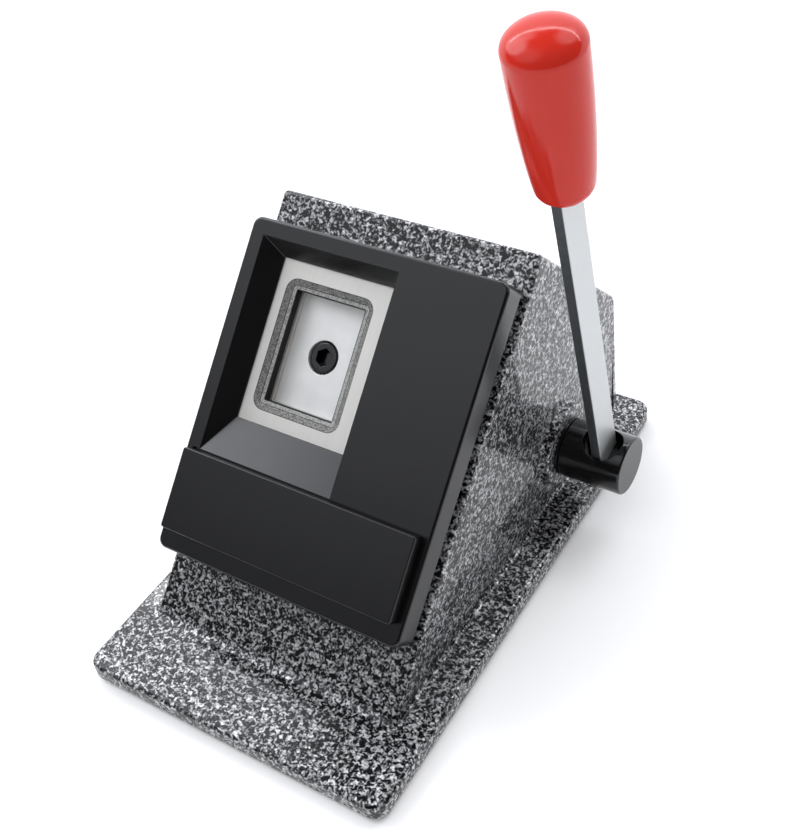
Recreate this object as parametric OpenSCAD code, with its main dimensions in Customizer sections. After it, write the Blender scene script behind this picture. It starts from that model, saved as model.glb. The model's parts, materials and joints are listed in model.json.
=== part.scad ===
// Desk cutter for identity photographs.
// A hand lever turns a cam shaft in a cast housing. The cam pushes a ram square out of the
// sloping front, and the punch on the ram cuts the photograph against the die plate that
// shows in the window of the front cover.
// Frame: X to the right, Y to the back, Z up, origin under the middle of the rubber mat.
// On the sloping front, s runs up the slope from its foot and h stands out square from it.

/* [Base] */
// Flange of the base beside the housing, left and right
flange_w = 9.5; // [7:0.5:14]
// Base in front of the foot of the sloping front
front_gap = 25.5; // [20:0.5:35]
// Base behind the back wall
back_gap = 7.4; // [5:0.2:12]
// Thickness of the base
base_t = 6; // [5.5:0.5:9]
// Corner radius of the base in plan
base_r = 5; // [3:0.5:8]
// Thickness of the rubber mat under the base
mat_t = 1.5; // [1:0.5:3]
// Inset of the mat from the edge of the base
mat_inset = 5; // [3:0.5:7]
// Thickness of the steel bottom plate
plate_t = 1.5; // [1:0.25:2]
// Inset of the bottom plate from the edge of the base
plate_inset = 4; // [3:0.5:5]

/* [Housing] */
// Width of the housing
body_w = 91; // [88:0.5:100]
// Middle of the housing, from the middle of the base
body_x = -1.6; // [-3:0.2:3]
// Slope of the front from level, in degrees
face_angle = 44.5; // [43:0.5:48]
// Length of the sloping front, from its foot to its top edge
face_len = 141.8; // [139:0.1:150]
// Length of the roof, which stands square to the front
roof_len = 69.8; // [67:0.2:80]
// Thickness of the side walls, roof and back wall
side_wall = 5; // [4:0.25:6]
// Thickness of the front wall, which carries the die and the posts
front_wall = 7; // [6:0.25:9]
// Rounding of the outer edges of the casting
edge_r = 1.5; // [0.75:0.25:2.5]
// Diameter of the boss round the shaft on the right side
boss_d = 28; // [25:0.5:32]
// Height of that boss
boss_out = 3; // [2:0.25:5]
// Length of the bearing bosses inside the side walls
boss_in = 8; // [5:0.5:10]

/* [Front cover] */
// Inset of the cover from each side of the housing
cover_margin = 1; // [0.5:0.25:2.5]
// Lower edge of the cover, up the slope
cover_foot = 23.7; // [20:0.1:27]
// Distance from the top edge of the front down to the cover
cover_top_gap = 11.1; // [9:0.1:13]
// Height of the cover above the front
cover_h = 12; // [11:0.25:15]
// Wall of the moulded cover
cover_wall = 2.5; // [2:0.25:3]
// Corner radius of the cover
cover_r = 3; // [2.5:0.25:5]
// Bar of the cover left of the window and above it
frame_w = 5.2; // [4:0.1:6]
// Sideways run of the window's left slope
slope_left = 5.6; // [4:0.2:7]
// Run of the window's upper slope
slope_top = 4.6; // [3:0.2:5]
// Run of the window's long lower slope
slope_bottom = 12.7; // [10:0.2:14]
// Right edge of the window, from the axis of the punch
window_right = 24; // [21:0.5:27]
// Height of the photograph's entry under the right wall of the cover
entry_h = 3.2; // [2:0.2:4]
// Height of the trim bar above the cover
trim_h = 4.6; // [3:0.2:6]
// Inset of the trim bar from each side of the cover
trim_margin = 2.6; // [1.5:0.1:5]
// Lower edge of the trim bar above the cover's lower edge
trim_foot = 7; // [5:0.2:8]
// Width of the trim bar up the slope
trim_len = 25.7; // [20:0.1:27]
// Rim of the cover between the trim bar and the window
trim_gap = 0.3; // [0.2:0.1:3]

/* [Punch and die] */
// Width of the cut photograph
photo_w = 25; // [22:0.5:26]
// Length of the cut photograph
photo_l = 35; // [32:0.5:37]
// Axis of the punch from the left edge of the cover
punch_in = 30.1; // [29:0.1:32]
// Axis of the punch down from the upper edge of the cover
punch_down = 35.9; // [34:0.1:37]
// Running gap round the punch
punch_gap = 0.05; // [0.02:0.01:0.1]
// Face of the punch below the housing's front at rest
punch_set = 1.4; // [0.2:0.1:2]
// Height of the slot that the photograph slides in
slot_h = 1.2; // [0.8:0.1:2]
// Thickness of the die plate
die_t = 4; // [3.5:0.25:5]
// Width of the flare round the die's opening
flare_w = 3.5; // [2:0.1:4]
// Depth of that flare
flare_h = 1.8; // [1:0.1:2.5]
// Thickness of the guide plate behind the slot
guide_t = 3; // [2.5:0.25:3.5]

/* [Ram] */
// Diameter of the guide posts
post_d = 8; // [6:0.5:9]
// Wall between the guide plate's seat and each post
post_wall = 1; // [0.5:0.25:3]
// Wall of the bushes in the ram
ram_bush_wall = 2; // [1:0.25:2.5]
// Width of the ram block
ram_w = 30; // [26:0.5:34]
// Thickness of the ram block along its travel
ram_t = 14; // [12:0.5:15]
// Diameter of the hard pad that the cam presses on
pad_d = 16; // [12:0.5:18]
// Height of the pad above the ram block
pad_out = 2; // [1:0.25:3]
// Wire of the return springs
spring_wire = 1.2; // [0.8:0.1:1.6]
// Turns of each return spring
spring_turns = 6; // [4:1:8]

/* [Lever] */
// Travel of the ram for one radian of the lever
cam_lift = 4.5; // [4:0.1:5]
// Height of the cam under the pad at rest
cam_low = 18; // [16.5:0.25:19]
// Width of the cam
cam_w = 14; // [10:0.5:16]
// Travel of the lever, in degrees
lever_travel = 68; // [55:1:72]
// Diameter of the shaft
shaft_d = 12; // [10:0.5:13]
// Shaft axis behind the sloping front
shaft_depth = 60.6; // [58:0.1:62]
// Wall of the shaft's bushes
bush_wall = 2; // [1.5:0.25:2.5]
// Diameter of the hub
hub_d = 19.5; // [17:0.5:22]
// Length of the hub
hub_len = 21.3; // [20:0.1:26]
// Place of the bar along the hub, from the hub's end
bar_in = 8.7; // [7:0.1:10]
// Width of the flat bar
bar_w = 11; // [9:0.25:11.75]
// Thickness of the flat bar
bar_t = 3.25; // [3:0.25:5]
// Diameter of the hole in the hub that the bar enters
hub_hole_d = 12.6; // [12.4:0.1:13.4]
// Forward lean of the lever at rest, in degrees
lever_lean = 11.25; // [5:0.25:20]
// Lower end of the grip from the shaft axis
grip_start = 116.5; // [100:0.5:130]
// Length of the grip
grip_len = 49; // [45:0.5:65]
// Largest diameter of the grip
grip_d = 20.5; // [18:0.5:24]
// Diameter of the grip at its lower end
neck_d = 16.2; // [13.5:0.1:17]

/* [Hidden] */
$fn = 64;

// Gap of a fitted piece in its seat, of a running fit, round a loose plate and round a screw
seat_gap = 0.02;
run_gap = 0.04;
plate_gap = 0.2;
screw_gap = 0.05;
// Extra length of a cutting tool past the face that it cuts, and thickness of a sheet in a hull
past = 1;
thin = 0.01;

// Housing, in Y and Z
base_top = mat_t + base_t;
body_depth = face_len * cos(face_angle) + roof_len * sin(face_angle);
base_w = body_w + 2 * flange_w;
base_d = front_gap + body_depth + back_gap;
foot_y = front_gap - base_d / 2;
back_y = foot_y + body_depth;
body_left = body_x - body_w / 2;
body_right = body_x + body_w / 2;
// Level of the housing's lower corners, inside the base
block_low = mat_t + 0.6 * base_t;

// Cover and window, in x and s
cover_left = body_left + cover_margin;
cover_right = body_right - cover_margin;
cover_w = cover_right - cover_left;
cover_top = face_len - cover_top_gap;
cover_len = cover_top - cover_foot;
trim_low = cover_foot + trim_foot;
trim_top = trim_low + trim_len;
punch_x = cover_left + punch_in;
punch_s = cover_top - punch_down;
win_left = cover_left + frame_w;
win_right = punch_x + window_right;
win_top = cover_top - frame_w;
win_low = trim_top + trim_gap;
// Rounding of the cover's front edge, and upright lip at the foot of the window's slopes
cover_edge = 1;
lip_h = 0.6;
// Trim bar: skin, rounding, and the pegs that hold it
trim_skin = 2;
trim_r = 0.8;
trim_edge = 0.4;
trim_peg_d = 4;

// Die: its rim round the screws, its room in the cover, and its run under the lower slope
die_front = slot_h + die_t;
die_rim = 3.8;
die_room = 0.4;
die_under = 6.5;
die_left = cover_left + cover_wall + die_room;
die_right = win_right + 2 * die_rim;
die_top = cover_top - cover_wall - die_room;
die_low = win_low + slope_bottom - die_under;
// Flare of the die: a shallow ledge next to the cutting edge, then a steeper rim
ledge_w = 1.4;
ledge_r = 1.2;
rim_h = 1.1;
rim_r = 4;
// Guide plate round the punch, and the wider way behind it
guide_end = 3;
guide_side = 8.5;
punch_way = 0.5;

// Ram, along h
cam_gap = 0.1;
pad_back = -shaft_depth + cam_low + cam_gap;
pad_sink = 3;
ram_back = pad_back + pad_out;
ram_front = ram_back + ram_t;
ram_r = 3;
post_pitch = photo_l + 2 * (guide_end + post_wall) + post_d;
ram_bush_d = post_d + 2 * ram_bush_wall;
ram_end = 1.5;
ram_l = post_pitch + ram_bush_d + 2 * ram_end;
// Posts: wall left in front of them, and tail behind the ram
post_skin = 1.5;
post_tail = 8;
post_front = -post_skin;
// Return springs: room round the post and at each end
spring_room = 0.8;
spring_end = 0.1;
spring_d = post_d + 2 * spring_room + spring_wire;

// Shaft
shaft_s = punch_s - cam_lift;
shaft_y = foot_y + shaft_s * cos(face_angle) + shaft_depth * sin(face_angle);
shaft_z = base_top + shaft_s * sin(face_angle) - shaft_depth * cos(face_angle);
bush_d = shaft_d + 2 * bush_wall;
boss_wall = 4;
boss_in_d = bush_d + 2 * boss_wall;
boss_face = body_right + boss_out;
bush_right_in = body_right - side_wall - boss_in;
bush_right_len = boss_face - bush_right_in;
bush_left_in = body_left + side_wall + boss_in;
bush_left_out = body_left + side_wall / 2;
bush_left_len = bush_left_in - bush_left_out;
shaft_end_gap = 0.5;
shaft_left = bush_left_out + shaft_end_gap;
washer_t = 1;

// Hub, with the foot of the bar in a slot below its round hole
hub_left = boss_face + run_gap + washer_t;
hub_right = hub_left + hub_len;
hub_edge = 0.6;
bar_x = hub_right - bar_in;
bar_seat = 2.5;
bar_foot = -4;
grip_tang = 40;

// Collar with its lug, which swings between two stop pins in the right wall
collar_w = 8;
collar_wall = 6;
collar_d = shaft_d + 2 * collar_wall;
collar_right = bush_right_in - run_gap;
collar_left = collar_right - collar_w;
stop_d = 5;
stop_out = 5;
stop_r = collar_d / 2 + stop_out;
stop_slack = 0.4;
stop_wall_x = body_right - side_wall / 2;
lug_w = 6;
lug_past = 1;
lug_r = stop_r + stop_d / 2 + lug_past;
stop_angle = asin((lug_w + stop_d) / 2 / stop_r) + stop_slack;
stop_angles = [-stop_angle, lever_travel + stop_angle];

// Cam: wall round the shaft, and flank kept past each end of the travel, in degrees
cam_wall = 5;
cam_hub_d = shaft_d + 2 * cam_wall;
cam_lead = 16;
cam_step = 4;

// Small screws: shank, pan head, and distances from what ends them
screw_d = 3;
pan_d = 5.4;
pan_h = 2.1;
pan_key = 2.7;
pan_key_deep = 1.2;
screw_short = 2;
screw_skin = 1.5;
plate_screw_grip = 3;
plate_screw_in = 5;
// Posts in the cover for its screws: diameter, root in the skin, distance from the cover's edge
cover_post_d = 8;
cover_post_root = 0.5;
cover_screw_in = 7;
cover_screw_right = 8;
cover_screw_len = front_wall + cover_h - cover_wall - screw_skin;
// Socket screw of the punch: room round its head, depth under the face, grip in the ram
m6_d = 6;
m6_head_d = 10;
m6_head_h = 6;
m6_key = 5;
m6_key_deep = 3;
head_room = 0.3;
head_sink = 0.3;
m6_grip = 8.5;
m6_end_room = 0.5;
// Headless set screws
grub_d = 4;
grub_len = 4;
grub_key = 2;
grub_key_deep = 1.5;
grub_gap = 0.15;

// Places of the screws and posts, in x and s or in x and y
cover_screws_at = [
  [cover_left + cover_screw_in, cover_foot + cover_screw_in],
  [cover_right - cover_screw_right, cover_foot + cover_screw_in],
  [cover_left + cover_screw_in, die_low - cover_screw_in],
  [cover_right - cover_screw_right, cover_top - cover_screw_right]
];
die_screws_at = [for (x = [die_left + die_rim, die_right - die_rim])
  for (s = [die_low + die_rim, die_top - die_rim]) [x, s]];
guide_screws_at = [for (i = [-1, 1]) for (j = [-1, 1])
  [punch_x + i * (photo_w + guide_side) / 2, punch_s + j * photo_l / 4]];
plate_screw_x = base_w / 2 - plate_inset - plate_screw_in;
plate_screw_y = base_d / 2 - plate_inset - plate_screw_in;
plate_screws_at = [for (i = [-1, 1]) for (j = [-1, 1]) [i * plate_screw_x, j * plate_screw_y]];
posts_at = [for (j = [-1, 1]) [punch_x, punch_s + j * post_pitch / 2]];

// A place on the sloping front
module on_face(x = 0, s = 0, h = 0)
  translate([0, foot_y, base_top]) rotate([face_angle, 0, 0]) translate([x, s, h]) children();

// Axis of the shaft, with the children's Z along X
module on_shaft(x = 0) translate([x, shaft_y, shaft_z]) rotate([0, 90, 0]) children();

// Axis of the lever, with Z up the bar
module on_lever() translate([bar_x, shaft_y, shaft_z]) rotate([lever_lean, 0, 0]) children();

// Extrudes a profile of Y and Z, or of s and h, along X
module along_x(w) rotate([90, 0, 90]) linear_extrude(w, center = true) children();

// A box from its two corners
module box(a, b) translate(a) cube(b - a);

// Rectangle with round corners
module round_rect(w, d, r) {
  square([w - 2 * r, d], center = true);
  square([w, d - 2 * r], center = true);
  for (i = [-1, 1], j = [-1, 1]) translate([i * (w / 2 - r), j * (d / 2 - r)]) circle(r);
}

// Slab with round corners and a rounded upper edge
module soft_slab(w, d, t, r, edge) hull()
  for (i = [-1, 1], j = [-1, 1], a = [0:30:90])
    translate([i * (w / 2 - r), j * (d / 2 - r), 0])
      cylinder(r = r - edge * (1 - cos(a)), h = t - edge * (1 - sin(a)), $fn = 32);

// Point of the housing's profile in Y and Z, from its s and h
function at_face(s, h) = [
  foot_y + s * cos(face_angle) - h * sin(face_angle),
  base_top + s * sin(face_angle) + h * cos(face_angle)
];

// Housing's profile, set in by a front and a side distance, and cut off level below
function profile(front, side, low) = let (
    back = back_y - side,
    top = face_len - side,
    roof_h = (foot_y + top * cos(face_angle) - back) / sin(face_angle),
    foot_s = (low - base_top + front * cos(face_angle)) / sin(face_angle)
  ) [at_face(foot_s, -front), at_face(top, -front), at_face(top, roof_h), [back, low]];

// Outside of the housing: a prism with all its edges rounded
module housing_block() {
  corners = profile(edge_r, edge_r, block_low);
  hull() for (x = [body_left + edge_r, body_right - edge_r], p = corners)
    translate([x, p[0], p[1]]) sphere(edge_r, $fn = 16);
}

// Inside of the housing, open below
module housing_cavity()
  translate([body_x, 0, 0]) along_x(body_w - 2 * side_wall)
    polygon(profile(front_wall, side_wall, mat_t - past));

// Hole for the shank of a small screw
module screw_hole(len) cylinder(d = screw_d + 2 * screw_gap, h = len);

// Countersunk screw with its head flush at Z = 0, pointing down, and a room round it for its hole
module flat_screw(len, room = 0) {
  d = screw_d + 2 * room;
  translate([0, 0, -len]) cylinder(d = d, h = len);
  translate([0, 0, -screw_d / 2]) cylinder(d1 = d, d2 = d + screw_d, h = screw_d / 2);
}

// Hole for that screw, open above
module flat_screw_hole(len) {
  flat_screw(len, screw_gap);
  cylinder(d = 2 * (screw_d + screw_gap), h = past);
}

// Headless screw with a socket in its lower end
module grub(len) difference() {
  cylinder(d = grub_d, h = len);
  translate([0, 0, -past]) cylinder(d = grub_key, h = grub_key_deep + past, $fn = 6);
}

// Tapped hole for that screw
module grub_hole(len) cylinder(d = grub_d + 2 * screw_gap, h = len);

module body_casting() color("dimgray") difference() {
  union() {
    difference() {
      union() {
        translate([0, 0, mat_t]) soft_slab(base_w, base_d, base_t, base_r, edge_r);
        housing_block();
        on_shaft(body_right - side_wall / 2) cylinder(d = boss_d, h = boss_out + side_wall / 2);
      }
      housing_cavity();
    }
    on_shaft(bush_right_in) cylinder(d = boss_in_d, h = boss_in + side_wall / 2);
    on_shaft(bush_left_out) cylinder(d = boss_in_d, h = boss_in + side_wall / 2);
  }
  // Seat of the bottom plate, and its screws
  translate([0, 0, mat_t - past]) linear_extrude(plate_t + past)
    round_rect(base_w - 2 * plate_inset, base_d - 2 * plate_inset, base_r);
  for (p = plate_screws_at) translate([p[0], p[1], mat_t])
    screw_hole(plate_t + plate_screw_grip + plate_gap);
  // Bearings of the shaft: right through on the right, blind on the left
  on_shaft(bush_right_in - past) cylinder(d = bush_d + 2 * seat_gap, h = bush_right_len + 2 * past);
  on_shaft(bush_left_out) cylinder(d = bush_d + 2 * seat_gap, h = bush_left_len + past);
  // Seat of the guide plate and way of the punch
  on_face(punch_x, punch_s, -guide_t) linear_extrude(guide_t + past)
    square([photo_w + 2 * guide_side, photo_l + 2 * guide_end] + [2, 2] * seat_gap, center = true);
  on_face(punch_x, punch_s, -front_wall - past) linear_extrude(front_wall + past)
    square([photo_w, photo_l] + [2, 2] * punch_way, center = true);
  // Posts, and the screws of the guide plate, die and cover
  for (p = posts_at) on_face(p[0], p[1], -front_wall - past)
    cylinder(d = post_d + 2 * seat_gap, h = post_front + front_wall + past);
  for (p = concat(guide_screws_at, die_screws_at, cover_screws_at))
    on_face(p[0], p[1], -front_wall - past) screw_hole(front_wall + 2 * past);
  stop_pin_places() cylinder(d = stop_d + 2 * seat_gap, h = side_wall);
}

module bottom_plate() color("silver") difference() {
  translate([0, 0, mat_t]) linear_extrude(plate_t)
    round_rect(base_w - 2 * (plate_inset + plate_gap), base_d - 2 * (plate_inset + plate_gap), base_r);
  for (p = plate_screws_at) translate([p[0], p[1], mat_t]) mirror([0, 0, 1])
    flat_screw_hole(plate_t + past);
}

module bottom_plate_screws() color("gray")
  for (p = plate_screws_at) translate([p[0], p[1], mat_t]) mirror([0, 0, 1])
    flat_screw(plate_t + plate_screw_grip);

module base_mat() color("#222222") linear_extrude(mat_t)
  round_rect(base_w - 2 * mat_inset, base_d - 2 * mat_inset, base_r);

// Sloped window: an upright lip at the die, then a frustum to past the front of the cover
module window_tool() {
  lip = die_front + lip_h;
  grow = (cover_h + past - lip) / (cover_h - lip);
  low = [win_left + slope_left, win_low + slope_bottom];
  high = [win_right, win_top - slope_top];
  box([low[0], low[1], slot_h], [high[0], high[1], lip + thin]);
  hull() {
    box([low[0], low[1], lip], [high[0], high[1], lip + thin]);
    box([low[0] - slope_left * grow, low[1] - slope_bottom * grow, cover_h + past],
        [high[0], high[1] + slope_top * grow, cover_h + past + thin]);
  }
}

module front_cover() color("#2c2c30") on_face() difference() {
  union() {
    difference() {
      translate([cover_left + cover_w / 2, cover_foot + cover_len / 2, 0])
        soft_slab(cover_w, cover_len, cover_h, cover_r, cover_edge);
      window_tool();
      // Seat over the die plate
      box([die_left - plate_gap, die_low - plate_gap, -past],
          [die_right + plate_gap, die_top + plate_gap, die_front + seat_gap]);
      // Hollow under the right panel and under the trim bar
      box([win_right + cover_wall, cover_foot + cover_wall, -past],
          [cover_right - cover_wall, cover_top - cover_wall, cover_h - cover_wall]);
      box([cover_left + cover_wall, cover_foot + cover_wall, -past],
          [cover_right - cover_wall, win_low - cover_wall, cover_h - cover_wall]);
      // Entry of the photograph under the right wall
      box([cover_right - cover_wall - past, cover_foot + cover_wall, -past],
          [cover_right + past, cover_top - cover_wall, entry_h]);
    }
    // Posts for the cover's screws
    for (p = cover_screws_at) translate([p[0], p[1], 0])
      cylinder(d = cover_post_d, h = cover_h - cover_wall + cover_post_root);
  }
  for (p = cover_screws_at) translate([p[0], p[1], -past])
    screw_hole(cover_screw_len - front_wall + plate_gap + past);
  trim_peg_places() translate([0, 0, cover_h - cover_wall - past])
    cylinder(d = trim_peg_d + 2 * seat_gap, h = cover_wall + 2 * past);
}

module cover_screws() color("gray") for (p = cover_screws_at) on_face(p[0], p[1], -front_wall) {
  cylinder(d = screw_d, h = cover_screw_len);
  translate([0, 0, -pan_h]) difference() {
    cylinder(d = pan_d, h = pan_h);
    translate([0, 0, -past]) cylinder(d = pan_key, h = pan_key_deep + past, $fn = 6);
  }
}

// Places of the trim bar's pegs, clear of the cover's own screw posts
module trim_peg_places() for (x = [cover_left + cover_w / 4, cover_right - cover_w / 4])
  translate([x, trim_low + trim_len / 2, 0]) children();

module trim_bar() color("#29292d") on_face() {
  w = cover_w - 2 * trim_margin;
  difference() {
    translate([cover_left + cover_w / 2, trim_low + trim_len / 2, cover_h])
      soft_slab(w, trim_len, trim_h, trim_r, trim_edge);
    translate([cover_left + cover_w / 2, trim_low + trim_len / 2, cover_h - past])
      linear_extrude(trim_h - trim_skin + past)
        round_rect(w - 2 * trim_skin, trim_len - 2 * trim_skin, trim_r / 2);
  }
  trim_peg_places() translate([0, 0, cover_h - cover_wall])
    cylinder(d = trim_peg_d, h = cover_wall + trim_h - trim_skin / 2);
}

// Sheet with the outline of the die's flare at one height above the housing's front
module flare_sheet(run, r, h) translate([0, 0, h]) linear_extrude(thin)
  round_rect(photo_w + 2 * run, photo_l + 2 * run, r, $fn = 32);

module die_plate() color("lightgray") on_face() difference() {
  box([die_left, die_low, slot_h], [die_right, die_top, die_front]);
  translate([punch_x, punch_s, 0]) {
    linear_extrude(die_front) square([photo_w, photo_l], center = true);
    hull() {
      translate([0, 0, die_front - flare_h]) linear_extrude(thin) square([photo_w, photo_l], center = true);
      flare_sheet(ledge_w, ledge_r, die_front - rim_h);
    }
    hull() {
      flare_sheet(ledge_w, ledge_r, die_front - rim_h);
      flare_sheet(flare_w, rim_r, die_front + thin);
    }
  }
  for (p = die_screws_at) translate([p[0], p[1], die_front]) flat_screw_hole(die_t + past);
}

module die_screws() color("gray") for (p = die_screws_at) on_face(p[0], p[1], die_front)
  flat_screw(die_front + front_wall - screw_short);

// Strip between the housing's front and the die plate
module spacer(low, high) on_face() difference() {
  box([die_left, low, 0], [die_right, high, slot_h]);
  for (p = die_screws_at) translate([p[0], p[1], -past]) screw_hole(slot_h + 2 * past);
}

module upper_spacer() color("silver") spacer(die_top - 2 * die_rim, die_top);

module lower_spacer() color("silver") spacer(die_low, die_low + 2 * die_rim);

module guide_plate() color("silver") on_face(punch_x, punch_s, -guide_t) difference() {
  linear_extrude(guide_t) square([photo_w + 2 * guide_side, photo_l + 2 * guide_end], center = true);
  translate([0, 0, -past]) linear_extrude(guide_t + 2 * past) square([photo_w, photo_l], center = true);
  for (p = guide_screws_at) translate([p[0] - punch_x, p[1] - punch_s, guide_t])
    flat_screw_hole(guide_t + past);
}

module guide_plate_screws() color("gray") for (p = guide_screws_at) on_face(p[0], p[1], 0)
  flat_screw(front_wall - screw_short);

module guide_posts() color("gainsboro") for (p = posts_at)
  on_face(p[0], p[1], ram_back - post_tail) cylinder(d = post_d, h = post_front - ram_back + post_tail);

// Coil spring along Z, as one tube swept round a helix with six-sided rings
module coil_spring(mean_d, wire, turns, len) {
  steps = 8;
  sides = 6;
  rings = steps * turns;
  centres = [for (i = [0:rings]) let (turn = 360 * i / steps)
    [mean_d / 2 * cos(turn), mean_d / 2 * sin(turn), wire / 2 + (len - wire) * i / rings]];
  points = [for (i = [0:rings], k = [0:sides - 1])
    let (turn = 360 * i / steps, around = 360 * k / sides)
    centres[i] + wire / 2 * [cos(around) * cos(turn), cos(around) * sin(turn), sin(around)]];
  walls = [for (i = [0:rings - 1], k = [0:sides - 1])
    let (a = i * sides + k, b = i * sides + (k + 1) % sides)
    each [[a, b, a + sides], [b, b + sides, a + sides]]];
  end = rings * sides;
  first = [for (k = [1:sides - 2]) [0, k + 1, k]];
  last = [for (k = [1:sides - 2]) [end, end + k, end + k + 1]];
  polyhedron(points, concat(walls, first, last));
  echo(least_gap_between_turns = min([for (i = [0:rings - steps]) for (j = [i + steps - 1:rings])
    norm(centres[i] - centres[j])]) - wire);
}

module return_springs() color("slategray") for (p = posts_at) on_face(p[0], p[1], ram_front + spring_end)
  coil_spring(spring_d, spring_wire, spring_turns, -front_wall - ram_front - 2 * spring_end);

// Plain bearing of the shaft
module shaft_bush(len) difference() {
  cylinder(d = bush_d, h = len);
  translate([0, 0, -past]) cylinder(d = shaft_d + 2 * run_gap, h = len + 2 * past);
}

module shaft_bush_right() color("darkgoldenrod") on_shaft(bush_right_in) shaft_bush(bush_right_len);

module shaft_bush_left() color("darkgoldenrod") on_shaft(bush_left_out) shaft_bush(bush_left_len);

// Places of the stop pins round the shaft, from the wall inwards over the collar
module stop_pin_places() for (a = stop_angles)
  translate([stop_wall_x, shaft_y, shaft_z]) rotate([a, 0, 0])
    translate([0, 0, stop_r]) rotate([0, -90, 0]) children();

module stop_pins() color("gainsboro") stop_pin_places()
  cylinder(d = stop_d, h = stop_wall_x - collar_left);

// Slot round the foot or the tang of the lever's bar
module bar_slot(low, len) translate([-bar_t / 2 - seat_gap, -bar_w / 2 - seat_gap, low])
  cube([bar_t + 2 * seat_gap, bar_w + 2 * seat_gap, len]);

module lever_shaft() color("#1c1c1e") difference() {
  union() {
    on_shaft(shaft_left) cylinder(d = shaft_d, h = hub_right - shaft_left - past);
    on_shaft(hub_left) cylinder(d = hub_d, h = hub_len - hub_edge);
    on_shaft(hub_right - hub_edge) cylinder(d1 = hub_d, d2 = hub_d - 2 * hub_edge, h = hub_edge);
  }
  on_lever() {
    translate([0, 0, bar_seat]) cylinder(d = hub_hole_d, h = hub_d);
    bar_slot(bar_foot, hub_d);
    translate([0, 0, -hub_d]) grub_hole(hub_d + bar_foot + past);
  }
}

module lever_bar() color("whitesmoke") on_lever()
  translate([-bar_t / 2, -bar_w / 2, bar_foot]) cube([bar_t, bar_w, grip_start + grip_tang - bar_foot]);

module lever_set_screw() color("gray") on_lever() translate([0, 0, bar_foot - grub_len]) grub(grub_len);

// Grip: a rounded neck, a side that swells like a quarter wave, and a domed end
module lever_grip() color("crimson") {
  neck_r = neck_d / 2;
  end_r = grip_d / 2;
  neck_edge = 4.2;
  dome = 4;
  crown = 1.2;
  swell_power = 0.83;
  swell_len = grip_len - neck_edge - dome - crown;
  neck = [for (a = [0:30:60]) [neck_r - neck_edge * (1 - sin(a)), neck_edge * (1 - cos(a))]];
  swell = [for (t = [0:0.1:1])
    [neck_r + (end_r - neck_r) * sin(90 * pow(t, swell_power)), neck_edge + swell_len * t]];
  top = [for (a = [15:15:90])
    [end_r - dome * (1 - cos(a)), neck_edge + swell_len + dome * sin(a)]];
  on_lever() difference() {
    translate([0, 0, grip_start]) rotate_extrude()
      polygon(concat([[0, 0]], neck, swell, top, [[0, grip_len]]));
    bar_slot(grip_start - past, grip_tang + past + seat_gap);
  }
}

module thrust_washer() color("silver") on_shaft(hub_left - washer_t) difference() {
  cylinder(d = hub_d, h = washer_t);
  translate([0, 0, -past]) cylinder(d = shaft_d + 2 * run_gap, h = washer_t + 2 * past);
}

// Place of the collar's set screw, below the shaft
module collar_screw_place() translate([collar_left + collar_w / 2, shaft_y, shaft_z - collar_d / 2])
  children();

module shaft_collar() color("gray") difference() {
  union() {
    on_shaft(collar_left) cylinder(d = collar_d, h = collar_w);
    translate([collar_left, shaft_y - lug_w / 2, shaft_z]) cube([collar_w, lug_w, lug_r]);
  }
  on_shaft(collar_left - past) cylinder(d = shaft_d + 2 * seat_gap, h = collar_w + 2 * past);
  collar_screw_place() translate([0, 0, -past]) grub_hole(collar_wall + 2 * past);
}

module collar_set_screw() color("dimgray") collar_screw_place() grub(collar_wall - grub_gap);

// Flank of the cam: the involute of a circle of radius cam_lift, so that the flat pad rises by
// cam_lift for each radian and the contact stays on the axis of the punch
function cam_point(a) = let (p = cam_low + cam_lift * a * PI / 180)
  [p * sin(a) + cam_lift * cos(a), p * cos(a) - cam_lift * sin(a)];

// Place of the cam's set screw, on the side away from the pad
module cam_screw_place() on_face(punch_x, shaft_s, -shaft_depth - cam_hub_d / 2) children();

module cam() color("darkgray") difference() {
  on_face(punch_x, shaft_s, -shaft_depth) {
    along_x(cam_w) circle(d = cam_hub_d);
    along_x(cam_w)
      polygon(concat([[0, 0]], [for (a = [-cam_lead:cam_step:lever_travel + cam_lead]) cam_point(a)]));
  }
  on_face(punch_x, shaft_s, -shaft_depth) along_x(cam_w + 2 * past) circle(d = shaft_d + 2 * seat_gap);
  cam_screw_place() translate([0, 0, -past]) grub_hole(cam_wall + 2 * past);
}

module cam_set_screw() color("dimgray") cam_screw_place() grub(cam_wall - grub_gap);

module ram_block() color("darkgray") difference() {
  on_face(punch_x, punch_s, ram_back) linear_extrude(ram_t) round_rect(ram_w, ram_l, ram_r);
  for (p = posts_at) on_face(p[0], p[1], ram_back - past)
    cylinder(d = ram_bush_d + 2 * seat_gap, h = ram_t + 2 * past);
  on_face(punch_x, punch_s, ram_back - past) cylinder(d = pad_d + 2 * seat_gap, h = pad_sink + past);
  on_face(punch_x, punch_s, ram_front - m6_grip - m6_end_room)
    cylinder(d = m6_d + 2 * screw_gap, h = m6_grip + m6_end_room + past);
}

module ram_bushes() color("darkgoldenrod") for (p = posts_at) on_face(p[0], p[1], ram_back) difference() {
  cylinder(d = ram_bush_d, h = ram_t);
  translate([0, 0, -past]) cylinder(d = post_d + 2 * run_gap, h = ram_t + 2 * past);
}

module wear_pad() color("gainsboro") on_face(punch_x, punch_s, pad_back)
  cylinder(d = pad_d, h = pad_out + pad_sink);

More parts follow.
